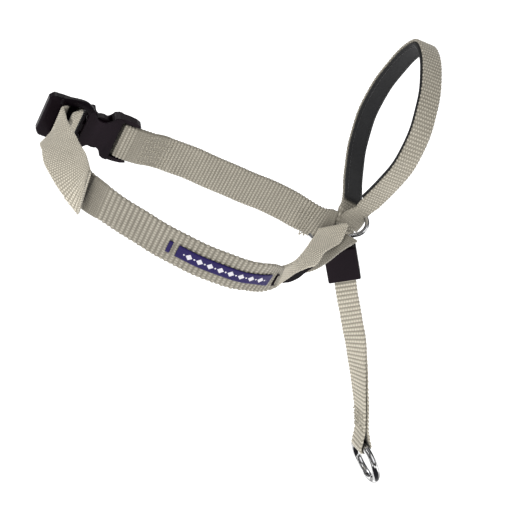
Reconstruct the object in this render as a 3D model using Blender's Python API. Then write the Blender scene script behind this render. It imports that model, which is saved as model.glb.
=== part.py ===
"""A dog's head halter: neck strap, side-release buckle, ring, padded nose loop, clamp, tail and leash ring.

Lengths in this file are millimetres and angles are degrees; every mesh is scaled to metres as it is made.
+Z is up and the dog's nose points to +X. The origin is on the inner face of the neck strap's straight rear
run, half way along it, where the strap bears on the neck.

The neck strap, with its buckle, is drawn in the neck frame: X runs along the rear run from the buckle to the
ring, Y goes back through the web, and Z goes across it. That frame leans, so the strap falls towards the ring.
"""
import math

import bmesh
import bpy
from mathutils import Euler, Matrix, Vector

MM = 0.001

# Webbing
NECK_WIDTH = 18.0
NECK_THICK = 1.8
NOSE_WIDTH = 11.0
NOSE_THICK = 1.5
GAP = 0.35            # air between pieces that lie on each other

# Neck frame: the rear run bows back to BOW between the buckle and the ring, and its middle is flat
NECK_LEAN = 25.5
BOW = 5.3
REAR_Y = BOW + NECK_THICK / 2
FLAT_HALF = 20.0

# Things sewn on the neck strap, by their distance along its front run
LOOSE_LENGTH = 48.0
LABEL_FROM, LABEL_TO, LABEL_SHIFT, LABEL_WIDTH = 95.0, 140.5, -0.2, 6.2
THROAT_FROM, THROAT_TO, THROAT_SHIFT = 150.0, 171.0, -6.5
THREAD = 0.28

# Buckle frame: X along the buckle, Y through it, its middle plane at Y = 0
BUCKLE_AT = (-62.0, 0.5, 0.0)
BUCKLE_TURN = 9.0
LADDER_LEFT = -30.6
END_BAR = 7.2
LADDER_HALF = 10.9
SLOT_HALF = 9.3
BAR_LEFT, BAR_RIGHT = -19.2, -16.6
CROSS_LEFT, CROSS_RIGHT = -13.0, -11.4
PLUG_HALF_THICK = 2.4
SOCKET_LEFT, SOCKET_RIGHT = -11.0, 14.4
PANEL_RIGHT = 5.3
SOCKET_HALF, SOCKET_HALF_THICK = 10.2, 3.9
HORN_HALF, HORN_HALF_THICK = 11.2, 2.8
WEB_BAR = (8.4, 10.6)
NOTCH_AT, NOTCH_RADIUS = (-3.6, 11.4), 5.0
ARM_ROOT = (-11.0, 5.4)

# Ring: X along it, Y from its near bar to its far bar
RING_AT = (53.6, -BOW, -22.6)
RING_TURN = (30.7, -11.4, 0.0)
RING_HALF_LENGTH, RING_HALF_WIDTH, RING_WIRE = 14.0, 6.2, 1.1
FOLD_AT, FOLD_RADIUS = (56.2, -5.3, -2.1), 3.7     # the strap's fold round the near bar, in the neck frame

# Nose loop: X across the web, Y from the near leg to the far leg, Z up the loop
NOSE_AT = (62.4, 1.7 - BOW, -20.0)
NOSE_TURN = (-17.0, 27.0, 13.5)
LOOP_HEIGHT, LOOP_FAR, LOOP_NEAR, LOOP_BELLY = 89.5, 31.0, 29.0, 48.0
FAR_LEG_SHIFT, SHIFT_HEIGHT = -5.3, 30.0
FAR_FOOT, NEAR_FOOT = 9.5, 5.0
PAD_WIDTH, PAD_THICK = 9.6, 1.8

# Tail: X across the web, Z up, with its origin in the middle of the clamp
TAIL_AT = (55.9, -BOW, -42.3)
TAIL_LEAN = -10.0
TAIL_THICK = 2 * NOSE_THICK + 0.3
TAIL_BEND, BEND_GAP = -36.0, 0.8
TAIL_EYE = -110.4
TAIL_TWIST = 66.0
EYE_DRIFT = -5.9
EYE_RADIUS = 3.5
WIRE_RISE = 0.75      # the leash ring's bend lets its middle stand above its ends inside the eye
LEASH_RADIUS, LEASH_WIRE = 10.8, 1.6

# Clamp: a sleeve on the tail with a lever in its back
CLAMP_HALF_WIDTH, CLAMP_HALF_HEIGHT = 8.0, 9.0
CLAMP_FRONT, CLAMP_BACK = -4.0, 5.0
CHANNEL_HALF_WIDTH, CHANNEL_HALF_DEPTH = NOSE_WIDTH / 2 + 0.4, TAIL_THICK / 2 + 0.35
LEVER_HALF_WIDTH = 5.3
LEVER_FRONT, LEVER_BACK, LEVER_FOOT = 2.35, 4.1, -8.4
PIN_Y, PIN_Z, PIN_RADIUS = 3.6, 5.2, 0.7
KNUCKLE_RADIUS, PIN_PLAY = 1.45, 0.25

WEB_COLOUR = (0.50, 0.46, 0.37)
PLASTIC_COLOUR = (0.012, 0.010, 0.014)
PAD_COLOUR = (0.030, 0.030, 0.033)
METAL_COLOUR = (0.80, 0.80, 0.80)
LABEL_COLOUR = (0.022, 0.010, 0.160)


def clear_scene():
    for old in list(bpy.data.objects):
        bpy.data.objects.remove(old, do_unlink=True)


def material(name, colour, roughness, metallic=0.0):
    made = bpy.data.materials.new(name)
    made.use_nodes = True
    shader = made.node_tree.nodes["Principled BSDF"]
    shader.inputs["Base Color"].default_value = (*colour, 1.0)
    shader.inputs["Roughness"].default_value = roughness
    shader.inputs["Metallic"].default_value = metallic
    return made


def frame(name, place=(0, 0, 0), turn=(0, 0, 0)):
    """An empty that carries one of the object's own frames."""
    empty = bpy.data.objects.new(name, None)
    empty.location = Vector(place) * MM
    empty.rotation_euler = Euler([math.radians(angle) for angle in turn])
    bpy.context.collection.objects.link(empty)
    return empty


def add_mesh(name, points, faces, finish, parent, smooth=False):
    mesh = bpy.data.meshes.new(name)
    mesh.from_pydata([Vector(point) * MM for point in points], [], faces)
    shaped = bmesh.new()
    shaped.from_mesh(mesh)
    bmesh.ops.recalc_face_normals(shaped, faces=shaped.faces)
    shaped.to_mesh(mesh)
    shaped.free()
    if smooth:
        mesh.shade_smooth()
    mesh.materials.append(finish)
    made = bpy.data.objects.new(name, mesh)
    made.parent = parent
    bpy.context.collection.objects.link(made)
    return made


# ---------------------------------------------------------------- webbing

def smooth(stations, steps):
    """Points on a smooth curve through stations, each a place and the direction across the web there."""
    rows = [(Vector(place), Vector(across).normalized()) for place, across in stations]
    rows = [(2 * rows[0][0] - rows[1][0], rows[0][1])] + rows + [(2 * rows[-1][0] - rows[-2][0], rows[-1][1])]
    out = []
    for i in range(1, len(rows) - 2):
        last = i == len(rows) - 3
        for k in range(steps + (1 if last else 0)):
            t = k / steps
            out.append(tuple(catmull([row[j] for row in rows[i - 1:i + 3]], t) for j in range(2)))
    return out


def catmull(four, t):
    a, b, c, d = four
    return 0.5 * (2 * b + (c - a) * t + (2 * a - 5 * b + 4 * c - d) * t * t + (3 * b - a - 3 * c + d) * t ** 3)


def surfaces(path):
    """Each place on a path with its exact across and normal directions and its distance from the start."""
    rows = []
    run = 0.0
    for i, (place, across) in enumerate(path):
        before = path[max(i - 1, 0)][0]
        after = path[min(i + 1, len(path) - 1)][0]
        along = (after - before).normalized()
        across = (across - along * across.dot(along)).normalized()
        run += (place - before).length if i else 0.0
        rows.append((place, across, along.cross(across), run))
    return rows


def stretch(rows, start, end, count, lift=0.0, shift=0.0):
    """A piece of a path between two distances, lifted off its face and shifted across it."""
    out = []
    for k in range(count + 1):
        want = start + (end - start) * k / count
        i = 1
        while i < len(rows) - 1 and rows[i][3] < want:
            i += 1
        (p0, a0, n0, s0), (p1, a1, n1, s1) = rows[i - 1], rows[i]
        t = (want - s0) / (s1 - s0)
        across = a0.lerp(a1, t).normalized()
        normal = n0.lerp(n1, t).normalized()
        out.append((p0.lerp(p1, t) + normal * lift + across * shift, across))
    return out


def ribbon(name, path, width, thick, finish, parent):
    """A flat strip along a path. A width may be a number or a function of the share of the way along."""
    rows = surfaces(path)
    points, faces = [], []
    for i, (place, across, normal, _) in enumerate(rows):
        half = (width(i / (len(rows) - 1)) if callable(width) else width) / 2
        for side, up in ((-1, -1), (1, -1), (1, 1), (-1, 1)):
            points.append(place + across * half * side + normal * thick / 2 * up)
    for i in range(len(rows) - 1):
        a, b = 4 * i, 4 * i + 4
        faces += [(a + k, a + (k + 1) % 4, b + (k + 1) % 4, b + k) for k in range(4)]
    faces += [(3, 2, 1, 0), tuple(4 * (len(rows) - 1) + k for k in range(4))]
    return add_mesh(name, points, faces, finish, parent)


def tube(name, centres, radius, sides, finish, parent, closed=False):
    """A round wire or thread along a line of centres, with a steady ring of sides."""
    centres = [Vector(centre) for centre in centres]
    count = len(centres)
    points, faces = [], []
    reference = None
    for i, centre in enumerate(centres):
        before = centres[i - 1] if closed or i else centre
        after = centres[(i + 1) % count] if closed or i < count - 1 else centre
        along = (after - before).normalized()
        if reference is None:
            reference = along.orthogonal().normalized()
        reference = (reference - along * reference.dot(along)).normalized()
        second = along.cross(reference)
        for k in range(sides):
            angle = 2 * math.pi * (k + 0.5) / sides
            points.append(centre + (reference * math.cos(angle) + second * math.sin(angle)) * radius)
    for i in range(count if closed else count - 1):
        a, b = i * sides, (i + 1) % count * sides
        faces += [(a + k, a + (k + 1) % sides, b + (k + 1) % sides, b + k) for k in range(sides)]
    if not closed:
        faces += [tuple(reversed(range(sides))), tuple(range((count - 1) * sides, count * sides))]
    return add_mesh(name, points, faces, finish, parent, smooth=True)


def on_web(rows, marks, lift):
    """Places on a web's face, from (distance along, distance across) marks."""
    return [stretch(rows, along, along + 0.01, 1, lift, across)[0][0] for along, across in marks]


# ---------------------------------------------------------------- solid pieces

def plate(name, outline, front, back, finish, parent, round_edge=0.0):
    """An outline in the frame's X and Z, extruded along Y from front to back."""
    count = len(outline)
    points = [(x, y, z) for y in (front, back) for x, z in outline]
    faces = [tuple(range(count)), tuple(reversed(range(count, 2 * count)))]
    faces += [(k, (k + 1) % count, count + (k + 1) % count, count + k) for k in range(count)]
    made = add_mesh(name, points, faces, finish, parent)
    if round_edge:
        soft = made.modifiers.new("soft_edges", "BEVEL")
        soft.width = round_edge * MM
        soft.segments = 2
        soft.limit_method = "ANGLE"
        soft.angle_limit = math.radians(50)
    return made


def block(name, low, high, finish, parent, round_edge=0.0):
    outline = [(low[0], low[2]), (high[0], low[2]), (high[0], high[2]), (low[0], high[2])]
    return plate(name, outline, low[1], high[1], finish, parent, round_edge)


def rod(name, start, end, radius, sides, finish, parent):
    return tube(name, [start, end], radius, sides, finish, parent)


def hide(tool):
    tool.hide_render = True
    tool.display_type = "WIRE"
    return tool


def boolean(target, tool, operation="DIFFERENCE"):
    step = target.modifiers.new(tool.name, "BOOLEAN")
    step.operation = operation
    step.object = hide(tool)
    step.solver = "EXACT"


def mirrored(half):
    """A closed outline from its upper half, listed from left to right."""
    return half + [(x, -z) for x, z in reversed(half)]


def arc(centre, radius, start, end, steps):
    turn = [math.radians(start + (end - start) * k / steps) for k in range(steps + 1)]
    return [(centre[0] + radius * math.cos(a), centre[1] + radius * math.sin(a)) for a in turn]


# ---------------------------------------------------------------- neck strap

def hairpin(centre, across, first, second, radius, start, end, steps):
    """Places round a bar: centre + radius * (first cos + second sin), with the web lying along the bar."""
    centre, first, second = Vector(centre), Vector(first), Vector(second)
    turn = [math.radians(start + (end - start) * k / steps) for k in range(steps + 1)]
    return [(centre + (first * math.cos(a) + second * math.sin(a)) * radius, Vector(across)) for a in turn]


def near_bar_frame():
    """The ring's directions in the neck frame: against its bar, out of its plane, and into its hole."""
    turn = Euler([math.radians(angle) for angle in RING_TURN]).to_matrix()
    lean = Euler((0, math.radians(NECK_LEAN), 0)).to_matrix().transposed()
    along, inward, normal = (lean @ turn.col[i] for i in range(3))
    return -along, normal, inward


def from_buckle(x, y):
    """A place in the buckle frame, given in the neck frame."""
    turn = math.radians(BUCKLE_TURN)
    return (BUCKLE_AT[0] + x * math.cos(turn) - y * math.sin(turn),
            BUCKLE_AT[1] + x * math.sin(turn) + y * math.cos(turn), BUCKLE_AT[2])


def buckle_hairpin(bar, radius, start, end, steps, shift=0.0):
    """Places round one of the buckle's bars, in the neck frame."""
    turn = [math.radians(start + (end - start) * k / steps) for k in range(steps + 1)]
    middle = (bar[0] + bar[1]) / 2
    return [(Vector(from_buckle(middle + radius * math.cos(a), shift + radius * math.sin(a))), Vector(UP))
            for a in turn]


UP = (0, 0, 1)


def front_run():
    """The front run of the neck strap, from beside the ladder round to the ring's near bar."""
    swept = (-0.1, -0.1, 1)
    stations = [
        ((-79.5, -16, 0), UP), ((-80.2, -26, 0), UP), ((-77.6, -39, 0), UP),
        ((-72.5, -50, 0), UP), ((-64.5, -59.5, 0), UP), ((-53, -66, 0), swept),
        ((-40, -71, 0), swept), ((-27, -75.5, 0), swept), ((-12, -78.5, 0), swept),
        ((5, -77.5, 0), (-0.15, -0.15, 1)), ((17, -73, 0), (-0.2, -0.27, 0.95)),
        ((26, -66, 0.3), (-0.25, -0.42, 0.85)), ((33.5, -56.5, 1.2), (-0.35, -0.45, 0.8)),
        ((40.5, -44.5, 2.6), (-0.5, -0.38, 0.7)), ((46.6, -31, 3.2), (-0.75, -0.2, 0.4)),
        ((51.2, -19, 3.2), (-0.9, -0.05, -0.1)), ((53.2, -11.5, 2.4), (-0.84, 0, -0.5)),
    ]
    across, normal, inward = near_bar_frame()
    wrap = hairpin(FOLD_AT, across, normal, inward, FOLD_RADIUS, 40, 210, 8)
    under = smooth([wrap[-1], ((58.3, -9.5, -4.7), across), ((57.2, -14, -3.0), across)], 2)
    return smooth(stations + [wrap[0]], 5)[:-1] + wrap[:-1] + under


def rear_run():
    """The rear run: folded round the socket's bar, bowed back to its flat middle, then down to the ring."""
    reach = (WEB_BAR[1] - WEB_BAR[0]) / 2 + 0.6 + NECK_THICK / 2
    fold = [(Vector(from_buckle(x, reach)), Vector(UP)) for x in (27, 20, 14)]
    fold += buckle_hairpin(WEB_BAR, reach, 90, 270, 9)
    bow = smooth([(from_buckle(13, -reach), UP), (from_buckle(20, -reach + 0.6), UP), ((-34, 4.9, 0), UP),
                  ((-FLAT_HALF, REAR_Y, 0), UP)], 3)
    turn = smooth([((FLAT_HALF, REAR_Y, 0), UP), ((31, 5.2, 0), UP), ((40, 3.6, -0.6), (0.05, 0, 1)),
                   ((44.5, 2.4, -1.2), (0.1, 0, 1))], 3)
    return fold + bow + turn


def free_end_path(front):
    """The strap's loose end: up through one slot, over the bar, back through the other and along the outside."""
    reach = (BAR_RIGHT - BAR_LEFT) / 2 + 0.7 + NECK_THICK / 2
    middle = (BAR_LEFT + BAR_RIGHT) / 2
    inner = [((-79.4, -15.2, 0), UP), ((-79.0, -10.5, 0), UP), (from_buckle(middle + reach, -3), UP)]
    over = buckle_hairpin((BAR_LEFT, BAR_RIGHT), reach, 0, 180, 8, 0.9)
    lift = NECK_THICK + GAP
    outer = [(from_buckle(middle - reach, -3), UP), ((-84.6, -11.5, 0), UP)]
    outer += stretch(front, 4, LOOSE_LENGTH, 7, lift)
    return smooth(inner, 3)[:-1] + over + smooth(outer, 3)


def box_stitch(name, rows, start, end, half, lift, finish, parent):
    """One run of thread: round a box, then to and fro inside it."""
    marks = [(start, -half), (start, half), (end, half), (end, -half), (start + 1.6, -half)]
    rungs = 4
    for k in range(rungs):
        side = half - 1.8
        along = start + 2.2 + (end - start - 4.4) * k / (rungs - 1)
        marks += [(along, -side if k % 2 == 0 else side), (along, side if k % 2 == 0 else -side)]
    dense = []
    for (s0, t0), (s1, t1) in zip(marks, marks[1:]):
        dense += [(s0 + (s1 - s0) * k / 3, t0 + (t1 - t0) * k / 3) for k in range(3)]
    tube(name, on_web(rows, dense + [marks[-1]], lift), THREAD, 5, finish, parent)


def zigzag(name, rows, start, end, half, turns, lift, finish, parent):
    marks = [(start + (end - start) * k / turns, half if k % 2 else -half) for k in range(turns + 1)]
    tube(name, on_web(rows, marks, lift), THREAD, 5, finish, parent)


def make_neck_strap(neck, web, label, rubber, thread):
    front = surfaces(front_run())
    rear = surfaces(rear_run())
    loose = surfaces(free_end_path(front))
    ribbon("front_neck_webbing", front_run(), lambda t: NECK_WIDTH - 4.5 * min(1.0, max(0.0, (t - 0.74) / 0.1)),
           NECK_THICK, web, neck)
    ribbon("rear_neck_webbing", rear_run(), NECK_WIDTH, NECK_THICK, web, neck)
    ribbon("neck_webbing_free_end", free_end_path(front), NECK_WIDTH, NECK_THICK, web, neck)
    proud = NECK_THICK / 2 + 0.4
    ribbon("label_ribbon", stretch(front, LABEL_FROM, LABEL_TO, 14, proud, LABEL_SHIFT), LABEL_WIDTH, 0.5,
           label, neck)
    for name, along in (("label_tack_left", LABEL_FROM - 4.5), ("label_tack_right", LABEL_TO + 4.0)):
        ribbon(name, stretch(front, along, along + 1.8, 1, proud, LABEL_SHIFT), LABEL_WIDTH, 0.5, label, neck)
    ribbon("throat_pad", stretch(front, THROAT_FROM, THROAT_TO, 8, -NECK_THICK / 2 - 1.2, THROAT_SHIFT), 8, 1.4,
           rubber, neck)
    above = NECK_THICK / 2 + THREAD + 0.12
    box_stitch("socket_box_stitch", rear, 30, 44, 7.0, above + 0.2, thread, neck)
    zigzag("ring_stitch", rear, rear[-1][3] - 9, rear[-1][3] - 3, 6.5, 7, above, thread, neck)
    zigzag("hem_stitch", loose, loose[-1][3] - 4.5, loose[-1][3] - 1.5, 7.5, 9, above, thread, neck)


# ---------------------------------------------------------------- buckle

def make_socket(buckle, plastic):
    """The shell: a mouth for the plug, press notches, two horns and the bar that holds the strap."""
    thick = SOCKET_HALF_THICK
    half = [(SOCKET_LEFT, 9.6), (SOCKET_LEFT + 1.4, SOCKET_HALF), (1.0, SOCKET_HALF), (3.2, HORN_HALF),
            (8.5, HORN_HALF), (12.0, 10.8), (SOCKET_RIGHT, 9.9), (13.8, SLOT_HALF), (PANEL_RIGHT, SLOT_HALF)]
    socket = plate("buckle_socket", mirrored(half), -thick, thick, plastic, buckle, 1.0)
    bar = block("socket_bar", (WEB_BAR[0], -0.8, -SLOT_HALF - 1), (WEB_BAR[1], 0.8, SLOT_HALF + 1), plastic, buckle)
    boolean(socket, bar, "UNION")
    for side, label in ((-1, "low"), (1, "high")):
        x, z = NOTCH_AT
        notch = rod("notch_" + label, (x, -thick - 1, z * side), (x, thick + 1, z * side), NOTCH_RADIUS, 20,
                    plastic, buckle)
        boolean(socket, notch)
        for face in (-1, 1):
            thin = plate("horn_%s_%d" % (label, face + 1), horn_relief(side), face * HORN_HALF_THICK,
                         face * (thick + 1), plastic, buckle)
            boolean(socket, thin)
    cavity = block("socket_cavity", (SOCKET_LEFT - 1, -2.6, -8.5), (3.0, 2.6, 8.5), plastic, buckle)
    boolean(socket, cavity)


def horn_relief(side):
    """The part of a horn's side that is thinned, clear of the shell's panel."""
    corners = [(PANEL_RIGHT + 1.5, 6.0), (SOCKET_RIGHT + 1, 6.0), (SOCKET_RIGHT + 1, 13), (4.5, 13)]
    return [(x, z * side) for x, z in corners]


def make_plug(buckle, plastic):
    """The ladder end with its two slots, and the tongue that guides the plug into the socket."""
    half = [(LADDER_LEFT + 2, 9.6), (LADDER_LEFT + END_BAR - 2, LADDER_HALF), (CROSS_LEFT, LADDER_HALF),
            (CROSS_RIGHT, 9.4), (CROSS_RIGHT, 2.2), (0.2, 2.2), (1.6, 1.2)]
    plug = plate("buckle_plug", mirrored(half), -PLUG_HALF_THICK, PLUG_HALF_THICK, plastic, buckle, 0.6)
    bar = plate("end_bar", mirrored([(LADDER_LEFT, 8.6), (LADDER_LEFT + 1.6, LADDER_HALF - 0.1),
                                     (LADDER_LEFT + END_BAR - 0.9, LADDER_HALF - 0.1),
                                     (LADDER_LEFT + END_BAR - 0.1, 10.0)]),
                -3.2, 3.0, plastic, buckle, 1.2)
    boolean(plug, bar, "UNION")
    for label, left, right in (("outer", LADDER_LEFT + END_BAR, BAR_LEFT), ("inner", BAR_RIGHT, CROSS_LEFT)):
        slot = block("slot_" + label, (left, -5, -SLOT_HALF), (right, 5, SLOT_HALF), plastic, buckle)
        boolean(plug, slot)
    for label, low, high in (("back", 1.9, 5), ("front", -5, -0.3)):
        relief = block("bar_relief_" + label, (LADDER_LEFT + END_BAR + 0.01, low, -SLOT_HALF),
                       (CROSS_LEFT - 0.01, high, SLOT_HALF), plastic, buckle)
        boolean(plug, relief)


def make_arm(name, side, buckle, plastic):
    """One sprung arm of the plug: a thin root, a domed press pad and a hooked nose."""
    x, z = ARM_ROOT
    outline = [(x, z - 1.0), (x + 3.0, z - 1.2), (x + 10.4, z - 1.4), (x + 12.0, z + 0.2), (x + 11.6, z + 1.4)]
    outline += arc((x + 7.4, z - 2.6), 5.4, 40, 140, 6)
    outline += [(x + 1.8, z + 0.4), (x, z + 0.8)]
    plate(name, [(a, b * side) for a, b in outline], -2.2, 2.2, plastic, buckle, 0.4)


# ---------------------------------------------------------------- ring, nose loop

def stadium(half_length, half_width, steps):
    straight = half_length - half_width
    right = arc((straight, 0), half_width, -90, 90, steps)
    left = arc((-straight, 0), half_width, 90, 270, steps)
    return right + left


def make_ring(parent, metal):
    outline = stadium(RING_HALF_LENGTH, RING_HALF_WIDTH, 10)
    tube("center_ring", [(x, y, 0) for x, y in outline], RING_WIRE, 10, metal, parent, closed=True)


def bezier(a, b, c, d, steps):
    a, b, c, d = (Vector(point) for point in (a, b, c, d))
    return [a * (1 - t) ** 3 + 3 * b * t * (1 - t) ** 2 + 3 * c * t * t * (1 - t) + d * t ** 3
            for t in [k / steps for k in range(steps + 1)]]


def nose_path():
    """Up the far leg, over the top and down the near leg. The far leg's foot stands to the left."""
    half = NOSE_THICK / 2 + 0.15
    belly, height, far, near = LOOP_BELLY, LOOP_HEIGHT, LOOP_FAR, -LOOP_NEAR
    up = bezier((half, 0.3), (5, 11), (far, 19), (far, belly), 14)
    over = bezier((far, belly), (far, 66), (12, height), (0, height), 10)
    back = bezier((0, height), (-12, height), (near, 66), (near, belly), 10)
    down = bezier((near, belly), (near, 24), (-7, 14), (-half, 0.3), 14)
    path = []
    for part in (up[:-1], over[:-1], back[:-1], down):
        for y, z in part:
            if z < (FAR_FOOT if y > 0 else NEAR_FOOT):
                continue
            share = max(0.0, 1 - z / SHIFT_HEIGHT) if y > 0 else 0.0
            path.append((Vector((FAR_LEG_SHIFT * share * share, y, z)), Vector((1, 0, 0))))
    return path


def make_nose_loop(parent, web, pad, thread):
    rows = surfaces(nose_path())
    length = rows[-1][3]
    ribbon("nose_webbing", nose_path(), NOSE_WIDTH, NOSE_THICK, web, parent)
    lift = -(NOSE_THICK / 2 + 0.5 + PAD_THICK / 2)
    ribbon("nose_pad", stretch(rows, 6, length - 13, 40, lift), PAD_WIDTH, PAD_THICK, pad, parent)
    for name, side in (("pad_stitch_left", -1), ("pad_stitch_right", 1)):
        marks = stretch(rows, 8, length - 15, 40, NOSE_THICK / 2 + THREAD + 0.25,
                        side * (PAD_WIDTH / 2 - 1.3))
        tube(name, [place for place, _ in marks], THREAD, 5, thread, parent)


# ---------------------------------------------------------------- tail, clamp, leash ring

def tail_share(z):
    """How far down the bent part of the tail a height is, from 0 at the bend to 1 at the eye."""
    return max(0.0, (TAIL_BEND - z) / (TAIL_BEND - TAIL_EYE))


def across_tail(z):
    """The direction across the tail web, which twists below the bend, faster at first."""
    share = tail_share(z)
    angle = math.radians(TAIL_TWIST * share * (2 - share))
    return Vector((math.cos(angle), -math.sin(angle), 0))


def tail_centre(z):
    return Vector((EYE_DRIFT * tail_share(z) ** 2, 0, z))


def make_upper_tail(parent, web):
    across = Vector((1, 0, 0))
    path = smooth([((3.8, 1.8, 19.5), (0.95, 0.1, -0.1)), ((1.6, 0.7, 14), across), ((0, 0, 9.6), across)], 4)
    path += [(Vector((0, 0, TAIL_BEND + BEND_GAP)), across)]
    ribbon("tail_webbing_upper", path, NOSE_WIDTH, TAIL_THICK, web, parent)


def lower_tail_path():
    """Down the near layer, round the eye and up the far layer."""
    pitch = NOSE_THICK / 2 + 0.15
    down, up = [], []
    count = 16
    for k in range(count + 1):
        z = TAIL_BEND - BEND_GAP + (TAIL_EYE + 7 - TAIL_BEND) * k / count
        across = across_tail(z)
        normal = across.cross(Vector(UP))
        down.append((tail_centre(z) + normal * pitch, across))
        up.insert(0, (tail_centre(z) - normal * pitch, across))
    across = across_tail(TAIL_EYE)
    eye = hairpin(tail_centre(TAIL_EYE), across, across.cross(Vector(UP)), UP, EYE_RADIUS, 20, -200, 11)
    return down + eye + up


def tail_bartack(parent, thread):
    """The row of thread that closes the eye."""
    rows = surfaces(lower_tail_path())
    middle = rows[-1][3] / 2
    zigzag("tail_bartack", rows, middle - 22, middle - 16, 3.0, 6, NOSE_THICK / 2 + THREAD + 0.3, thread, parent)


def make_lower_tail(parent, web):
    ribbon("tail_webbing_lower", lower_tail_path(), NOSE_WIDTH, NOSE_THICK, web, parent)


def make_leash_ring(parent, metal):
    across = across_tail(TAIL_EYE)
    top = tail_centre(TAIL_EYE) + Vector((0, 0, WIRE_RISE))
    hang = Vector((0.06, 0, -1)).normalized()
    hang = (hang - across * hang.dot(across)).normalized()
    centre = top + hang * LEASH_RADIUS
    sides = 40
    ring = [centre + across * LEASH_RADIUS * math.cos(a) + hang * LEASH_RADIUS * math.sin(a)
            for a in [2 * math.pi * k / sides for k in range(sides)]]
    tube("leash_ring", ring, LEASH_WIRE, 12, metal, parent, closed=True)


def make_clamp(parent, plastic, metal):
    wide, tall = CLAMP_HALF_WIDTH, CLAMP_HALF_HEIGHT
    body = block("clamp_body", (-wide, CLAMP_FRONT, -tall), (wide, CLAMP_BACK, tall), plastic, parent, 0.7)
    channel = block("clamp_channel", (-CHANNEL_HALF_WIDTH, -CHANNEL_HALF_DEPTH, -tall - 1),
                    (CHANNEL_HALF_WIDTH, CHANNEL_HALF_DEPTH, tall + 1), plastic, parent)
    window = block("lever_window", (-LEVER_HALF_WIDTH - 0.35, 0, -tall - 1),
                   (LEVER_HALF_WIDTH + 0.35, CLAMP_BACK + 1, PIN_Z + KNUCKLE_RADIUS + 0.35), plastic, parent)
    pin_hole = rod("pin_hole", (-wide + 0.8, PIN_Y, PIN_Z), (wide - 0.8, PIN_Y, PIN_Z), PIN_RADIUS + PIN_PLAY, 12,
                   plastic, parent)
    for tool in (channel, window, pin_hole):
        boolean(body, tool)
    rod("clamp_pin", (-wide + 1.1, PIN_Y, PIN_Z), (wide - 1.1, PIN_Y, PIN_Z), PIN_RADIUS, 12, metal, parent)
    lever = block("clamp_lever", (-LEVER_HALF_WIDTH, LEVER_FRONT, LEVER_FOOT),
                  (LEVER_HALF_WIDTH, LEVER_BACK, PIN_Z), plastic, parent, 0.25)
    knuckle = rod("lever_knuckle", (-LEVER_HALF_WIDTH, PIN_Y, PIN_Z), (LEVER_HALF_WIDTH, PIN_Y, PIN_Z),
                  KNUCKLE_RADIUS, 16, plastic, parent)
    boolean(lever, knuckle, "UNION")
    bore = rod("lever_bore", (-wide, PIN_Y, PIN_Z), (wide, PIN_Y, PIN_Z), PIN_RADIUS + PIN_PLAY, 12, plastic, parent)
    boolean(lever, bore)


def build():
    clear_scene()
    web = material("nylon_webbing", WEB_COLOUR, 0.75)
    thread = material("nylon_thread", WEB_COLOUR, 0.55)
    plastic = material("black_plastic", PLASTIC_COLOUR, 0.35)
    rubber = material("black_rubber", PLASTIC_COLOUR, 0.6)
    pad = material("charcoal_pad", PAD_COLOUR, 0.85)
    pad_thread = material("charcoal_thread", PAD_COLOUR, 0.6)
    metal = material("bright_steel", METAL_COLOUR, 0.12, 1.0)
    label = material("indigo_ribbon", LABEL_COLOUR, 0.45)
    neck = frame("neck_frame", (0, -BOW, 0), (0, NECK_LEAN, 0))
    buckle = frame("buckle_frame", BUCKLE_AT, (0, 0, BUCKLE_TURN))
    buckle.parent = neck
    ring = frame("ring_frame", RING_AT, RING_TURN)
    nose = frame("nose_frame", NOSE_AT, NOSE_TURN)
    tail = frame("tail_frame", TAIL_AT, (0, TAIL_LEAN, 0))
    make_neck_strap(neck, web, label, rubber, thread)
    make_socket(buckle, plastic)
    make_plug(buckle, plastic)
    make_arm("buckle_arm_upper", 1, buckle, plastic)
    make_arm("buckle_arm_lower", -1, buckle, plastic)
    make_ring(ring, metal)
    make_nose_loop(nose, web, pad, pad_thread)
    make_upper_tail(tail, web)
    make_lower_tail(tail, web)
    tail_bartack(tail, thread)
    make_leash_ring(tail, metal)
    make_clamp(tail, plastic, metal)


build()
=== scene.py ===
"""Looks of a dog's head halter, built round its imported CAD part.

Lengths are millimetres until a mesh is made, and angles are degrees. The neck strap is drawn in the neck
frame, and the buckle, the ring, the nose loop and the tail in theirs. Those frames repeat the CAD part's.
"""
import math

import bmesh
import bpy
import numpy as np
from mathutils import Euler, Matrix, Vector


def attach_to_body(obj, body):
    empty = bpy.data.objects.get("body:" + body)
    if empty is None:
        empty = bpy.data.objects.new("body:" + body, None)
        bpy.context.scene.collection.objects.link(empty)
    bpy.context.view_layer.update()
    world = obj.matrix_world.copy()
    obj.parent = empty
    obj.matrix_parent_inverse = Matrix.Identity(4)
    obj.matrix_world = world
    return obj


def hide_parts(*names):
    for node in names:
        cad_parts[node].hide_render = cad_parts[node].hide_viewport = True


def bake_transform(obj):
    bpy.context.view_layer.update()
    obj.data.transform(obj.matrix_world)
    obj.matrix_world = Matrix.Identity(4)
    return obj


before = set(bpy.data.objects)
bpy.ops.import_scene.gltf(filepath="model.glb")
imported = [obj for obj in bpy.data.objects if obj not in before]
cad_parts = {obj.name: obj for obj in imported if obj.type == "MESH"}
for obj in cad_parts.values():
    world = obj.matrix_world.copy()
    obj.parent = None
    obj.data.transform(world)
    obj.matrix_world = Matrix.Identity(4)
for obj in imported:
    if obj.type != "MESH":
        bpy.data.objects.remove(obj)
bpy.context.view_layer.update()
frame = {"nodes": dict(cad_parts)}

MM = 0.001
UP = Vector((0, 0, 1))

# Webbing
NECK_WIDTH, NECK_THICK = 18.0, 1.8
NOSE_WIDTH, NOSE_THICK = 11.0, 1.5
LAYER_OFFSET = NOSE_THICK / 2 + 0.15

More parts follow.
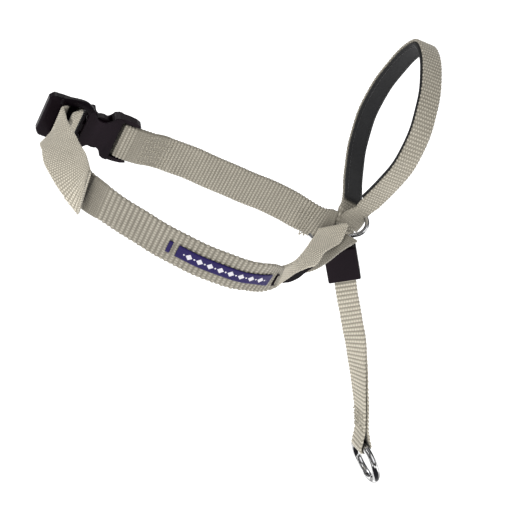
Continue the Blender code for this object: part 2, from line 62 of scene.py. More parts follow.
# Neck frame, and the buckle in it
BOW = 5.3
NECK_AT, NECK_TURN = (0, -BOW, 0), (0, 25.5, 0)
BUCKLE_AT, BUCKLE_TURN = (-62.0, 0.5, 0.0), 9.0
WEB_BAR, WEB_BAR_CLEAR = (8.4, 10.6), 0.6
LADDER_BAR, LADDER_CLEAR, LADDER_SHIFT = (-19.2, -16.6), 1.4, 0.9

# Neck strap: its rear run's flat middle, its loose end, and where the front run's bold ribs end
REAR_Y = BOW + NECK_THICK / 2
FLAT_HALF = 20.0
LOOSE_LENGTH = 51.0
HEM_LENGTH = 4.9
RIBBED_LENGTH = 150.0

# Joining ring
RING_AT, RING_TURN = (53.6, -BOW, -22.6), (30.7, -11.4, 0.0)
RING_HALF_LENGTH, RING_HALF_WIDTH, RING_WIRE = 14.0, 6.2, 1.1

# Nose loop and its pad
NOSE_AT, NOSE_TURN = (62.4, 1.7 - BOW, -20.0), (-17.0, 27.0, 13.5)
LOOP_HEIGHT, LOOP_FAR, LOOP_NEAR, LOOP_BELLY = 89.5, 31.0, 29.0, 48.0
FAR_LEG_SHIFT, SHIFT_HEIGHT = -5.3, 30.0
PAD_WIDTH, PAD_THICK, PAD_SHIFT = 9.8, 1.8, -0.5
PAD_FROM, PAD_SHORT_OF_END = 15.5, 17.5

# Tail and leash ring
TAIL_AT, TAIL_TURN = (55.9, -BOW, -42.3), (0, -10.0, 0)
TAIL_TOP, TAIL_BEND, TAIL_EYE, EYE_PARTING = 9.6, -36.0, -110.4, 10.5
TAIL_TWIST, EYE_DRIFT, EYE_RADIUS, WIRE_RISE = 66.0, -5.9, 2.9, 0.75
LEASH_RADIUS, LEASH_WIRE = 11.3, 1.95

# Label, by distance along the front run
LABEL_FROM, LABEL_TO, LABEL_SHIFT, LABEL_WIDTH = 95.0, 140.5, -0.2, 6.2
LABEL_PROUD = NECK_THICK / 2 + 0.42

# Colours, linear
# The webbing's dark and light ends. Its colour moves between them with real fibre and soil tone, and with
# rib height, which paints highlight on rib tops and shade in the valleys.
WEB_LIGHT, WEB_DARK = (0.62, 0.575, 0.475), (0.20, 0.18, 0.14)
THREAD_COLOUR = (0.50, 0.46, 0.37)
PLASTIC_COLOUR = (0.0034, 0.0016, 0.0030)
PAD_COLOUR = (0.021, 0.021, 0.022)
LABEL_COLOUR = (0.016, 0.007, 0.105)
MARK_COLOUR = (0.72, 0.70, 0.75)

# Studio
CAMERA_AT, CAMERA_TILT, LENS, SENSOR = (13.75, -650.6, 334.2), 60.0, 108.7, 36.0
FLOOR_Z, FLOOR_HALF = -176.0, 4000
WORLD_LIGHT, WORLD_SEEN = 0.24, 0.96
# name, place, size in metres, power in watts
LAMPS = (("key", (-450, -700, 800), 0.5, 6.5), ("fill", (700, -500, 400), 0.6, 1.4),
         ("back", (100, 700, 700), 0.5, 2.0))


# ---------------------------------------------------------------- frames and curves

def turned(angles):
    """A rotation from angles in degrees."""
    return Euler([math.radians(angle) for angle in angles]).to_matrix().to_4x4()


def placed(at, turn):
    """The matrix of one of the part's own frames, in millimetres."""
    return Matrix.Translation(Vector(at)) @ turned(turn)


NECK = placed(NECK_AT, NECK_TURN)
BUCKLE = NECK @ placed(BUCKLE_AT, (0, 0, BUCKLE_TURN))
RING = placed(RING_AT, RING_TURN)
NOSE = placed(NOSE_AT, NOSE_TURN)
TAIL = placed(TAIL_AT, TAIL_TURN)


def unit(rows):
    """Rows of directions, each made one long."""
    return rows / np.linalg.norm(rows, axis=1)[:, None]


def ramp(run, start, end):
    """0 before start, 1 after end, and smooth between."""
    t = np.clip((run - start) / (end - start), 0, 1)
    return t * t * (3 - 2 * t)


def arc(start, end, steps):
    """Angles in radians, at even steps from start to end in degrees."""
    return [math.radians(start + (end - start) * k / steps) for k in range(steps + 1)]


def bezier(a, b, c, d, steps):
    a, b, c, d = (Vector(point) for point in (a, b, c, d))
    return [a * (1 - t) ** 3 + 3 * b * t * (1 - t) ** 2 + 3 * c * t * t * (1 - t) + d * t ** 3
            for t in [k / steps for k in range(steps + 1)]]


def catmull(four, t):
    """A value on the smooth curve between the middle two of four values, at t from 0 to 1."""
    a, b, c, d = four
    return 0.5 * (2 * b + (c - a) * t + (2 * a - 5 * b + 4 * c - d) * t * t
                  + (3 * b - a - 3 * c + d) * t ** 3)


# ---------------------------------------------------------------- the webs' paths
#
# A station is a place on a web's centre line, the direction across the web, and the web's width.

def full(station):
    """A station with its width, which is the neck strap's unless it says otherwise."""
    width = station[2] if len(station) > 2 else NECK_WIDTH
    return Vector(station[0]), Vector(station[1]).normalized(), width


def from_edges(edges):
    """Stations from pairs of places on the web's two edges."""
    pairs = [(Vector(left), Vector(right)) for left, right in edges]
    return [((left + right) / 2, left - right, (left - right).length) for left, right in pairs]


def smooth(stations, steps=8):
    """More stations, on a smooth curve through these."""
    rows = [full(station) for station in stations]
    before = (2 * rows[0][0] - rows[1][0], *rows[0][1:])
    after = (2 * rows[-1][0] - rows[-2][0], *rows[-1][1:])
    rows = [before] + rows + [after]
    out = []
    for i in range(1, len(rows) - 2):
        last = i == len(rows) - 3
        for k in range(steps + (1 if last else 0)):
            four = rows[i - 1:i + 3]
            out.append(tuple(catmull([row[j] for row in four], k / steps) for j in range(3)))
    return out


class Path:
    """A web's centre line at even steps: places, directions across and out of the web, and distances."""

    def __init__(self, stations, step=0.5, start=0.0, end=None, square=True):
        stations = [full(station) for station in stations]
        places, across = (np.array([tuple(station[k]) for station in stations], float) for k in (0, 1))
        width = np.array([station[2] for station in stations])
        run = np.concatenate([[0.0], np.cumsum(np.linalg.norm(np.diff(places, axis=0), axis=1))])
        self.length = run[-1]
        end = self.length if end is None else end
        count = max(2, int(round(abs(end - start) / step)) + 1)
        self.run = np.linspace(start, end, count)
        self.place = np.stack([np.interp(self.run, run, places[:, k]) for k in range(3)], 1)
        self.across = np.stack([np.interp(self.run, run, across[:, k]) for k in range(3)], 1)
        self.width = np.interp(self.run, run, width)
        self.settle(square)

    def settle(self, square):
        """Makes the directions unit vectors. Square also sets across at right angles to the path."""
        along = unit(np.gradient(self.place, axis=0))
        if square:
            self.across = self.across - along * np.sum(self.across * along, 1)[:, None]
        self.across = unit(self.across)
        self.out = unit(np.cross(along, self.across))

    def moved(self, lift=0.0, shift=0.0):
        """This path off the web's face by lift and across it by shift. Each is a number or one per row."""
        lift, shift = (np.broadcast_to(value, self.run.shape)[:, None] for value in (lift, shift))
        other = Path.__new__(Path)
        other.run, other.length, other.width = self.run, self.length, self.width
        other.place = self.place + self.out * lift + self.across * shift
        other.across, other.out = self.across, self.out
        return other

    def part(self, start, end, step):
        """The stretch of this path from start to end."""
        return Path(zip(self.place, self.across, self.width), step, start, end)

    def at(self, along, across=0.0, lift=0.0):
        """A place on the web from its distance along, across and off it."""
        place, side, out = (np.array([np.interp(along, self.run, part[:, k]) for k in range(3)])
                            for part in (self.place, self.across, self.out))
        return place + side * across + out * lift


def from_buckle(x, y):
    """A place in the buckle's frame, given in the neck frame."""
    turn = math.radians(BUCKLE_TURN)
    return (BUCKLE_AT[0] + x * math.cos(turn) - y * math.sin(turn),
            BUCKLE_AT[1] + x * math.sin(turn) + y * math.cos(turn), BUCKLE_AT[2])


def round_buckle_bar(bar, radius, start, end, steps, shift=0.0):
    """Stations round one of the buckle's bars, from start to end in degrees."""
    middle = sum(bar) / 2
    return [(from_buckle(middle + radius * math.cos(a), shift + radius * math.sin(a)), UP)
            for a in arc(start, end, steps)]


def front_run():
    """The front run of the neck strap, from beside the ladder round to its folds at the ring."""
    swept = (-0.1, -0.1, 1)
    strap = [
        ((-79.5, -16, 0), UP), ((-80.2, -26, 0), UP), ((-77.6, -39, 0), UP),
        ((-72.5, -50, 0), UP), ((-64.5, -59.5, 0), UP), ((-53, -66, 0), swept),
        ((-40, -71, 0), swept), ((-27, -75.5, 0), swept), ((-12, -78.5, 0), swept),
        ((5, -77.5, 0), (-0.15, -0.15, 1)), ((17, -73, 0), (-0.2, -0.27, 0.95), 17.5),
    ]
    folds = [
        ((25.4, -64.5, 5.0), (25.8, -65.3, -8.2)), ((29.5, -59.0, 3.9), (31.2, -59.5, -4.6)),
        ((32.3, -53.5, 3.4), (36.0, -53.0, -2.0)), ((35.0, -47.0, 2.8), (41.3, -46.0, -1.2)),
        ((37.7, -40.0, 2.5), (46.8, -39.0, -1.0)), ((40.0, -33.0, 2.3), (49.4, -31.5, 2.1)),
        ((42.4, -26.0, 2.0), (53.6, -24.5, 2.7)), ((45.0, -18.0, 1.5), (58.3, -16.5, 3.0)),
        ((47.1, -11.0, 0.5), (59.9, -10.0, 5.6)), ((48.7, -5.0, -1.0), (60.5, -5.0, 7.9)),
        ((49.4, -3.4, -2.6), (58.5, -3.2, 4.6)), ((49.6, -3.0, -5.4), (54.5, -3.0, -0.6)),
    ]
    return smooth(strap + from_edges(folds))


def lower_layer():
    """The strap's lower layer, which shows below the fold's crease and runs up behind the ring's wire."""
    return smooth(from_edges([
        ((37.5, -41.0, 2.5), (40.3, -44.0, -6.2)), ((42.5, -36.0, 2.0), (46.7, -38.5, -5.3)),
        ((47.5, -28.0, 1.2), (53.3, -30.5, -2.9)), ((53.2, -18.5, 1.4), (59.3, -20.5, 0.5)),
        ((57.6, -10.5, 2.6), (64.9, -12.5, 2.3)), ((60.2, -6.5, 3.2), (67.7, -8.5, 3.1)),
    ]))


def loose_run():
    """Up through the ladder's inner slot, over the bar, out through the outer slot and down in front."""
    middle = sum(LADDER_BAR) / 2
    reach = (LADDER_BAR[1] - LADDER_BAR[0]) / 2 + LADDER_CLEAR + NECK_THICK / 2
    inner = [((-79.4, -15.2, 0), UP), ((-79.0, -10.5, 0), UP), (from_buckle(middle + reach, -3), UP)]
    over = round_buckle_bar(LADDER_BAR, reach, 0, 180, 12, LADDER_SHIFT)
    outer = [(from_buckle(middle - reach, -3), UP), ((-84.6, -11.5, 0), UP)]
    hanging = from_edges([
        ((-78.6, -27.0, 9.0), (-87.3, -28.0, -5.5)), ((-74.0, -38.0, 8.9), (-87.0, -39.0, -1.9)),
        ((-70.2, -47.0, 9.9), (-84.3, -48.0, -2.7)), ((-67.8, -54.5, 10.4), (-78.8, -55.5, -3.8)),
        ((-66.7, -59.5, 11.1), (-71.7, -60.5, -6.2)), ((-66.2, -62.0, 10.9), (-63.5, -64.0, -9.5)),
    ])
    return smooth(inner)[:-1] + over + smooth(outer + hanging)[1:]


def rear_run():
    """The rear run: folded round the socket's bar, bowed back to its flat middle, then down to the ring."""
    reach = (WEB_BAR[1] - WEB_BAR[0]) / 2 + WEB_BAR_CLEAR + NECK_THICK / 2
    fold = [(from_buckle(x, reach), UP, NECK_WIDTH - 4) for x in (24, 20, 14)]
    fold += round_buckle_bar(WEB_BAR, reach, 90, 270, 14)
    bow = smooth([(from_buckle(13, -reach), UP), (from_buckle(20, -reach + 0.6), UP),
                  ((-34, 4.9, 0), UP), ((-FLAT_HALF, REAR_Y, 0), UP)])
    to_ring = from_edges([((44.6, 2.6, 8.2), (43.4, 2.2, -8.8)), ((48.6, 1.6, 8.6), (46.0, -0.8, -7.8)),
                          ((51.6, 0.8, 9.9), (51.0, -3.0, -5.0)), ((54.5, 0.3, 10.1), (55.7, -3.4, 1.5))])
    turn = smooth([((FLAT_HALF, REAR_Y, 0), UP), ((31, 5.2, 0), UP), ((39, 3.8, -0.5), UP)] + to_ring)
    return fold + bow + turn


def throat_run():
    """The dark slip under the strap's lower edge, blunt at one end and drawn out at the other."""
    return smooth(from_edges([
        ((32.2, -56.0, -4.6), (33.2, -56.3, -7.3)), ((34.3, -52.8, -2.0), (36.6, -53.0, -7.3)),
        ((37.5, -48.5, -0.9), (40.3, -48.5, -6.4)), ((40.9, -43.8, -0.6), (43.2, -44.0, -4.8)),
        ((45.0, -39.6, -1.6), (46.1, -40.0, -2.8)),
    ]))


def nose_run():
    """Up the far leg, over the top and down the near leg, with both feet drawn into the strap's folds."""
    belly, height, far, near = LOOP_BELLY, LOOP_HEIGHT, LOOP_FAR, -LOOP_NEAR
    up = bezier((LAYER_OFFSET, 0.3), (5, 11), (far, 19), (far, belly), 30)
    over = bezier((far, belly), (far, 66), (12, height), (0, height), 24)
    back = bezier((0, height), (-12, height), (near, 66), (near, belly), 24)
    down = bezier((near, belly), (near, 24), (-7, 14), (-LAYER_OFFSET, 0.3), 30)
    straight, tilted = (1, 0, 0), (1, 0, -0.1)
    loop = []
    for y, z in up[:-1] + over[:-1] + back[:-1] + down:
        share = max(0.0, 1 - z / SHIFT_HEIGHT) if y > 0 else 0.0
        loop.append(((FAR_LEG_SHIFT * share * share, y, z), straight, NOSE_WIDTH))
    far_foot = smooth([((-4.7, 1.0, -7.4), straight, NOSE_WIDTH), ((-5.6, 0.9, 0.0), straight, NOSE_WIDTH),
                       loop[3]])
    near_foot = smooth([loop[-8], ((-0.4, -3.0, 5.0), tilted, 9.2), ((-1.9, -0.4, 0.5), tilted, 12.6),
                        ((-3.2, 1.2, -4.0), tilted, 13.0)])
    return far_foot[:-1] + loop[3:-8] + near_foot


def tail_share(z):
    """How far a height is down the twisted part of the tail: 0 at the bend and 1 at the eye."""
    return max(0.0, (TAIL_BEND - z) / (TAIL_BEND - TAIL_EYE))


def across_tail(z):
    """The direction across the tail, which twists on its way down."""
    share = tail_share(z)
    angle = math.radians(TAIL_TWIST * share * (2 - share))
    return Vector((math.cos(angle), -math.sin(angle), 0))


def tail_centre(z):
    """The middle of the tail at a height. It drifts sideways below the bend."""
    return Vector((EYE_DRIFT * tail_share(z) ** 2, 0, z))


def tail_run():
    """Down the tail's near layer from above the clamp, round the eye and up the far layer."""
    down, up = [], []
    count, drop = 60, TAIL_EYE + EYE_PARTING - TAIL_TOP
    for k in range(count + 1):
        z = TAIL_TOP + drop * k / count
        across = across_tail(z)
        out = across.cross(UP)
        down.append((tail_centre(z) + out * LAYER_OFFSET, across))
        up.insert(0, (tail_centre(z) - out * LAYER_OFFSET, across))
    across = across_tail(TAIL_EYE)
    out = across.cross(UP)
    eye = [(tail_centre(TAIL_EYE) + (out * math.cos(a) + UP * math.sin(a)) * EYE_RADIUS, across)
           for a in arc(20, -200, 20)]
    return down + eye + up


def leg_run():
    """One of the webs that run from the ring's folds down into the clamp."""
    return smooth([((3.8, 1.8, 18.5), (0.95, 0.1, -0.1)), ((1.6, 0.7, 14), (1, 0, 0)),
                   ((0, 0, 9.0), (1, 0, 0)), ((0, 0, 6.0), (1, 0, 0))])


# ---------------------------------------------------------------- meshes

def add_mesh(name, points, faces, finish, matrix, marks=None):
    """A smooth mesh from points in millimetres in one of the part's frames.

    A web also has marks: each point's distances along and across it, and how strong its ribs are there.
    Weaker ribs also make the webbing darker, which paints shade at the nose loop's near foot and the rear
    run's end.
    """
    mesh = bpy.data.meshes.new(name)
    moved = np.asarray(points, float) @ np.array(matrix.to_3x3()).T + np.array(matrix.translation)
    mesh.from_pydata((moved * MM).tolist(), [], faces)
    if marks is not None:
        cloth = mesh.uv_layers.new(name="cloth")
        corner = np.zeros(len(mesh.loops), int)
        mesh.loops.foreach_get("vertex_index", corner)
        cloth.data.foreach_set("uv", marks[corner, :2].astype(np.float32).ravel())
        amount = mesh.attributes.new("amount", "FLOAT", "POINT")
        amount.data.foreach_set("value", marks[:, 2].astype(np.float32))
    shaped = bmesh.new()
    shaped.from_mesh(mesh)
    bmesh.ops.recalc_face_normals(shaped, faces=shaped.faces)
    shaped.to_mesh(mesh)
    shaped.free()
    mesh.shade_smooth()
    mesh.materials.append(finish)
    made = bpy.data.objects.new(name, mesh)
    bpy.context.scene.collection.objects.link(made)
    return made


def loft_faces(rows, count, closed=False):
    """Faces between rows of count points each, capped at both ends unless the rows close on themselves."""
    faces = []
    for i in range(rows if closed else rows - 1):
        a, b = i * count, (i + 1) % rows * count
        faces += [(a + k, a + (k + 1) % count, b + (k + 1) % count, b + k) for k in range(count)]
    if not closed:
        faces += [tuple(reversed(range(count))), tuple(range((rows - 1) * count, rows * count))]
    return faces


class Weave:
    """A web's pattern: the pitch of its ribs and of its yarns, its relief, dots and scalloped edge.

    Dots is how deeply the yarns divide each rib: 0 leaves the ribs plain.
    """

    def __init__(self, pitch, yarn, relief, dots, scallop):
        self.pitch, self.yarn, self.relief, self.dots, self.scallop = pitch, yarn, relief, dots, scallop

    def rib(self, run):
        return 0.5 + 0.5 * np.cos(2 * math.pi * run / self.pitch)

    def height(self, run, across):
        stagger = math.pi * (np.round(run / self.pitch) % 2)
        yarn = 0.5 + 0.5 * np.cos(2 * math.pi * across / self.yarn + stagger)
        return self.rib(run) * (1 - self.dots * (1 - yarn))


BOLD = Weave(2.25, 1.3, 0.5, 0.75, 0.5)
FINE = Weave(1.6, 1.25, 0.28, 0.74, 0.3)
DENSE = Weave(1.15, 1.1, 0.2, 0.9, 0.15)
NARROW = Weave(1.8, 1.3, 0.3, 0.9, 0.3)
ROPY = Weave(2.4, 1.3, 0.5, 0.55, 0.4)
SATIN = Weave(0.9, 1.0, 0.0, 0.0, 0.0)
TACK = Weave(0.6, 1.0, 0.18, 0.0, 0.1)
SLIP = Weave(0.8, 1.0, 0.02, 0.5, 0.0)
KNIT = Weave(1.4, 0.6, 0.05, 0.5, 0.03)


def sheet(name, path, width, thick, weave, finish, matrix, amount=1.0, round_edge=0.5):
    """A woven strip with real ribs on both faces, scalloped edges and rounded sides."""
    run = path.run
    width, thick, amount = (np.broadcast_to(value, run.shape) for value in (width, thick, amount))
    columns = 2 * int(round(float(width.max()) / weave.yarn))
    share = np.linspace(-1, 1, columns + 1)
    drift = 0.12 * np.sin(run / 7.3) + 0.08 * np.sin(run / 3.1 + 1.7)
    half = width / 2 - weave.scallop * (1 - weave.rib(run)) * amount
    across = half[:, None] * share + drift[:, None]
    rounded = thick * round_edge
    near_edge = (half[:, None] * np.abs(share) - (half - rounded)[:, None]) / rounded[:, None]
    body = np.sqrt(1 - np.clip(near_edge, 0, 1) ** 2)
    both_faces = []
    for offset, sign in ((0.0, 1), (weave.pitch / 2, -1)):
        raised = weave.height(run[:, None] + offset, across) - 0.5
        both_faces.append(sign * body * (thick[:, None] / 2 + weave.relief * raised * amount[:, None]))
    there_and_back = list(range(columns + 1)) + list(range(columns - 1, 0, -1))
    count = len(there_and_back)
    lift = np.concatenate([both_faces[0], both_faces[1][:, columns - 1:0:-1]], 1)[..., None]
    side = across[:, there_and_back]
    points = path.place[:, None] + path.across[:, None] * side[..., None] + path.out[:, None] * lift
    marks = np.stack([np.repeat(run[:, None], count, 1), side, np.repeat(amount[:, None], count, 1)], -1)
    return add_mesh(name, points.reshape(-1, 3), loft_faces(len(run), count), finish, matrix,
                    marks.reshape(-1, 3))


def tube_parts(centres, radius, sides, closed=False):
    """Points and faces of a round wire or thread along a line of centres."""
    centres = np.asarray(centres, float)
    count = len(centres)
    radius = np.broadcast_to(radius, (count,))
    points = []
    reference = None
    for i in range(count):
        before = centres[i - 1] if closed or i else centres[i]
        after = centres[(i + 1) % count] if closed or i < count - 1 else centres[i]
        along = Vector(after - before).normalized()
        if reference is None:
            reference = along.orthogonal()
        reference = (reference - along * reference.dot(along)).normalized()
        second = along.cross(reference)
        for k in range(sides):
            angle = 2 * math.pi * k / sides
            spoke = reference * math.cos(angle) + second * math.sin(angle)
            points.append(tuple(Vector(centres[i]) + spoke * radius[i]))
    return points, loft_faces(count, sides, closed)


def tube(name, centres, radius, sides, finish, matrix, closed=False):
    points, faces = tube_parts(centres, radius, sides, closed)
    return add_mesh(name, points, faces, finish, matrix)


def threads(name, lines, finish, matrix):
    """One mesh of many short threads, each given as its centres and their radii."""
    points, faces = [], []
    for centres, radii in lines:
        more_points, more_faces = tube_parts(centres, radii, 7)
        faces += [tuple(len(points) + index for index in face) for face in more_faces]
        points += more_points
    return add_mesh(name, points, faces, finish, matrix)


def stitches(name, path, marks, lift, radius, finish, matrix):
    """Stitches between marks on a web, each a short arc that dips in at its ends.

    With a radius below 0 they arch the other way, for the web's other face.
    """
    lines = []
    steps = 6
    for (s0, t0), (s1, t1) in zip(marks, marks[1:]):
        line, radii = [], []
        for share in (k / steps for k in range(steps + 1)):
            rise = math.sin(math.pi * share)
            mark = 0.06 + 0.88 * share
            up = lift + radius * (1.5 * rise - 0.8)
            line.append(path.at(s0 + (s1 - s0) * mark, t0 + (t1 - t0) * mark, up))
            radii.append(radius * (0.55 + 0.45 * rise))
        lines.append((line, radii))
    return threads(name, lines, finish, matrix)


def knots(name, path, area, pitch, length, lift, radius, finish, matrix=NECK):
    """Scattered short stitches over an area of a web, turned this way and that."""
    start, end, half = area
    steps = (-2, -1, 0, 1, 2)
    lines = []
    for s in np.arange(start, end, pitch):
        for t in np.arange(-half, half, pitch):
            count = len(lines)
            turn = 2.4 * count
            s0, t0 = s + 0.5 * math.sin(5.1 * count), t + 0.5 * math.cos(3.7 * count)
            ds, dt = length / 4 * math.cos(turn), length / 4 * math.sin(turn)
            line = [path.at(s0 + ds * k, t0 + dt * k, lift + radius * (0.7 - 0.4 * k * k)) for k in steps]
            lines.append((line, [radius * (1 - 0.12 * k * k) for k in steps]))
    return threads(name, lines, finish, matrix)


def rounded_bar(name, line, half_across, half_deep, finish, matrix):
    """A moulded bar with rounded corners along a line in the x-z plane."""
    deep = Vector((0, 1, 0))
    line = [Vector(place) for place in line]
    rows = [line[0] * 2 - line[1]] + line + [line[-1] * 2 - line[-2]]
    centres = [catmull(rows[i - 1:i + 3], k / 6) for i in range(1, len(rows) - 2) for k in range(6)]
    centres.append(line[-1])
    last, sides = len(centres) - 1, 28
    points = []
    for i, centre in enumerate(centres):
        along = (centres[min(i + 1, last)] - centres[max(i - 1, 0)]).normalized()
        over = along.cross(deep).normalized()
        shrink = min(1.0, 0.72 + 0.14 * min(i, last - i))
        for k in range(sides):
            angle = 2 * math.pi * k / sides
            a, b = (math.copysign(abs(value) ** 0.6, value) * shrink
                    for value in (math.cos(angle), math.sin(angle)))
            points.append(tuple(centre + over * half_across * a + deep * half_deep * b))
    return add_mesh(name, points, loft_faces(len(centres), sides), finish, matrix)


# ---------------------------------------------------------------- materials

def scaled(colour, factor, more=0.0):
    return tuple(factor * value + more for value in colour)


class Graph:
    """One material's nodes, with short names for what the finishes use."""

    def __init__(self, name):
        self.material = bpy.data.materials.new(name)
        self.material.use_nodes = True
        self.tree = self.material.node_tree
        self.shader = self.tree.nodes["Principled BSDF"]

    def put(self, socket, value):
        """Links a socket to another, or sets its value."""
        if isinstance(value, bpy.types.NodeSocket):
            self.tree.links.new(value, socket)
        elif isinstance(value, tuple) and len(value) == 3 and socket.type == "RGBA":
            socket.default_value = (*value, 1.0)
        else:
            socket.default_value = value

    def add(self, kind, **values):
        """A new node with some of its inputs set by name."""
        node = self.tree.nodes.new("ShaderNode" + kind)
        for name, value in values.items():
            self.put(node.inputs[name.replace("_", " ")], value)
        return node

    def finish(self, **values):
        """The material, with the shader's inputs set by name."""
        for name, value in values.items():
            self.put(self.shader.inputs[name.replace("_", " ")], value)
        return self.material

    def math(self, operation, *values):
        node = self.add("Math")
        node.operation = operation
        for socket, value in zip(node.inputs, values):
            self.put(socket, value)
        return node.outputs[0]

    def spread(self, value, low, high):
        """0 at low and 1 at high."""
        return self.add("MapRange", Value=value, From_Min=low, From_Max=high).outputs["Result"]

    def cloth(self):
        """Distances along and across a web, in millimetres."""
        node = self.add("UVMap")
        node.uv_map = "cloth"
        split = self.add("SeparateXYZ", Vector=node.outputs[0])
        return split.outputs[0], split.outputs[1]

    def attribute(self, name):
        node = self.add("Attribute")
        node.attribute_name = name
        return node.outputs["Fac"]

    def place(self, kind="Object"):
        """The shaded point's place on its object in metres, or another of its coordinates."""
        return self.add("TexCoord").outputs[kind]

    def joined(self, x, y, z=0.0):
        return self.add("CombineXYZ", X=x, Y=y, Z=z).outputs[0]

    def noise(self, vector, scale, detail=3.0):
        node = self.add("TexNoise", Vector=vector, Scale=scale, Detail=detail, Roughness=0.6)
        return node.outputs["Fac"]

    def mix(self, share, low, high, kind="MIX"):
        node = self.add("Mix")
        node.data_type = "RGBA"
        node.blend_type = kind
        for index, value in ((0, share), (6, low), (7, high)):
            self.put(node.inputs[index], value)
        return node.outputs[2]

    def wave(self, distance, pitch, shift=0.0):
        """1 to 0 and back once in every pitch."""
        turn = self.math("MULTIPLY_ADD", distance, 2 * math.pi / pitch, shift)
        return self.math("MULTIPLY_ADD", self.math("COSINE", turn), 0.5, 0.5)

    def bump(self, height, strength, distance):
        node = self.add("Bump", Height=height, Strength=strength, Distance=distance * MM)
        self.put(self.shader.inputs["Normal"], node.outputs[0])

    def edge_highlight(self, base, highlight_colour, share):
        """Painted highlight: paler where the geometry turns a sharp corner."""
        edge = self.spread(self.add("NewGeometry").outputs["Pointiness"], 0.52, 0.60)
        return self.mix(self.math("MULTIPLY", edge, share), base, highlight_colour)

    def shade(self, colour, reach, strength):
        """Painted shade: a colour made darker by strength where other surfaces are within reach."""
        node = self.add("AmbientOcclusion", Distance=reach * MM)
        clear = self.math("POWER", self.spread(node.outputs["AO"], 0.12, 0.95), 0.8)
        light = self.math("MULTIPLY_ADD", clear, strength, 1 - strength)
        return self.mix(1.0, colour, self.joined(light, light, light), "MULTIPLY")


def webbing(name, weave, painted_light_scale):
    """Ribbed nylon webbing: yarns that cross raised ribs, with fine fibres, uneven colour, painted
    highlight on rib tops, and painted shade in the valleys and near other parts.
    """
    g = Graph(name)
    run, across = g.cloth()
    amount = g.attribute("amount")
    odd_rib = g.math("MODULO", g.math("ROUND", g.math("DIVIDE", run, weave.pitch)), 2)
    rib = g.wave(run, weave.pitch)
    yarn = g.wave(across, weave.yarn, g.math("MULTIPLY", odd_rib, math.pi))
    woven = g.math("MULTIPLY", rib, g.math("MULTIPLY_ADD", yarn, weave.dots, 1 - weave.dots))
    plain = g.math("MULTIPLY", g.wave(run, 0.9), g.wave(across, 1.0))
    plain_amount = g.math("MULTIPLY_ADD", amount, -0.3, 0.45)
    height = g.math("MULTIPLY_ADD", plain, plain_amount, g.math("MULTIPLY", woven, amount))
    streaks = g.noise(g.joined(g.math("MULTIPLY", run, 2.2), g.math("MULTIPLY", across, 5.0)), 1.0, 4.0)
    specks = g.noise(g.joined(run, across), 1.1)
    fibres = g.math("MULTIPLY_ADD", specks, 0.9, g.math("MULTIPLY_ADD", streaks, 0.5, -0.2))
    soil = g.math("MULTIPLY_ADD", g.noise(g.joined(run, across), 0.09), 0.3, -0.15)
    # Colour by rib height is painted highlight on the rib tops and painted shade in the valleys. The fibres
    # and soil add real tone.
    tone = g.math("MULTIPLY_ADD", fibres, 0.4, g.math("MULTIPLY_ADD", height, 0.95, -0.08))
    tone = g.math("ADD", tone, soil)
    # Painted shade: ambient occlusion darkens the colour in creases and where other parts come near.
    colour = g.shade(g.mix(tone, scaled(WEB_DARK, painted_light_scale), scaled(WEB_LIGHT, painted_light_scale)), 9.0, 0.78)
    g.bump(g.math("MULTIPLY_ADD", fibres, 0.35, height), 0.8, 0.25)
    return g.finish(Base_Color=colour, Roughness=0.72, Sheen_Weight=0.25, Sheen_Roughness=0.4)


def thread(name, colour):
    """Twisted sewing thread."""
    g = Graph(name)
    twist = g.noise(g.place(), 2600.0, 2.0)
    g.bump(twist, 0.6, 0.1)
    return g.finish(Base_Color=g.mix(twist, scaled(colour, 0.7), colour), Roughness=0.5, Sheen_Weight=0.2)


def moulded(name, colour, roughness):
    """Moulded plastic with a fine texture, faint flow marks and a painted highlight along its sharp edges.
    """
    g = Graph(name)
    fine = g.noise(g.place(), 1500.0)
    broad = g.noise(g.place(), 90.0)
    patchy = g.mix(broad, scaled(colour, 0.75), scaled(colour, 1.5))
    g.bump(fine, 0.5, 0.05)
    rough = g.math("MULTIPLY_ADD", broad, 0.12, roughness - 0.06)
    rough = g.math("ADD", rough, g.math("MULTIPLY", fine, 0.05))
    # The paler sharp edges are a painted highlight.
    return g.finish(Base_Color=g.edge_highlight(patchy, scaled(colour, 4, 0.006), 0.6), Roughness=rough,
                    Specular_IOR_Level=0.07)


def padding(name, colour):
    """Soft charcoal pad cloth: a fine knit with a dull sheen."""
    g = Graph(name)
    run, across = g.cloth()
    knit = g.math("MULTIPLY", g.wave(run, 0.7), g.wave(across, 0.6))
    broad = g.noise(g.place(), 160.0, 4.0)
    tone = g.math("MULTIPLY_ADD", knit, 0.5, g.math("MULTIPLY", broad, 0.6))
    g.bump(tone, 0.7, 0.12)
    return g.finish(Base_Color=g.mix(tone, scaled(colour, 0.6), scaled(colour, 1.7)), Roughness=0.88,
                    Sheen_Weight=0.12, Sheen_Roughness=0.5, Specular_IOR_Level=0.2)


def ribbon(name, base, mark):
    """Satin label ribbon with a plain row of woven diamonds, and a dot between each two."""
    g = Graph(name)
    run, across = g.cloth()
    pitch, diamond_half, dot_radius = 4.8, 1.55, 0.4
    along = g.math("PINGPONG", run, pitch / 2)
    from_dot = g.math("SUBTRACT", pitch / 2, along)
    diamond = g.math("LESS_THAN", g.math("ADD", along, g.math("ABSOLUTE", across)), diamond_half)
    squares = g.math("ADD", g.math("MULTIPLY", from_dot, from_dot), g.math("MULTIPLY", across, across))
    dot = g.math("LESS_THAN", squares, dot_radius ** 2)
    keep = g.math("MULTIPLY", g.math("MAXIMUM", diamond, dot), g.attribute("amount"))
    satin = g.math("MULTIPLY", g.wave(run, 0.42), g.wave(across, 0.5))
    g.bump(g.math("MULTIPLY_ADD", keep, 1.2, satin), 0.5, 0.08)
    dull = g.mix(satin, scaled(base, 0.65), scaled(base, 1.3))
    return g.finish(Base_Color=g.mix(keep, dull, mark), Roughness=0.5, Sheen_Weight=0.05,
                    Specular_IOR_Level=0.2)


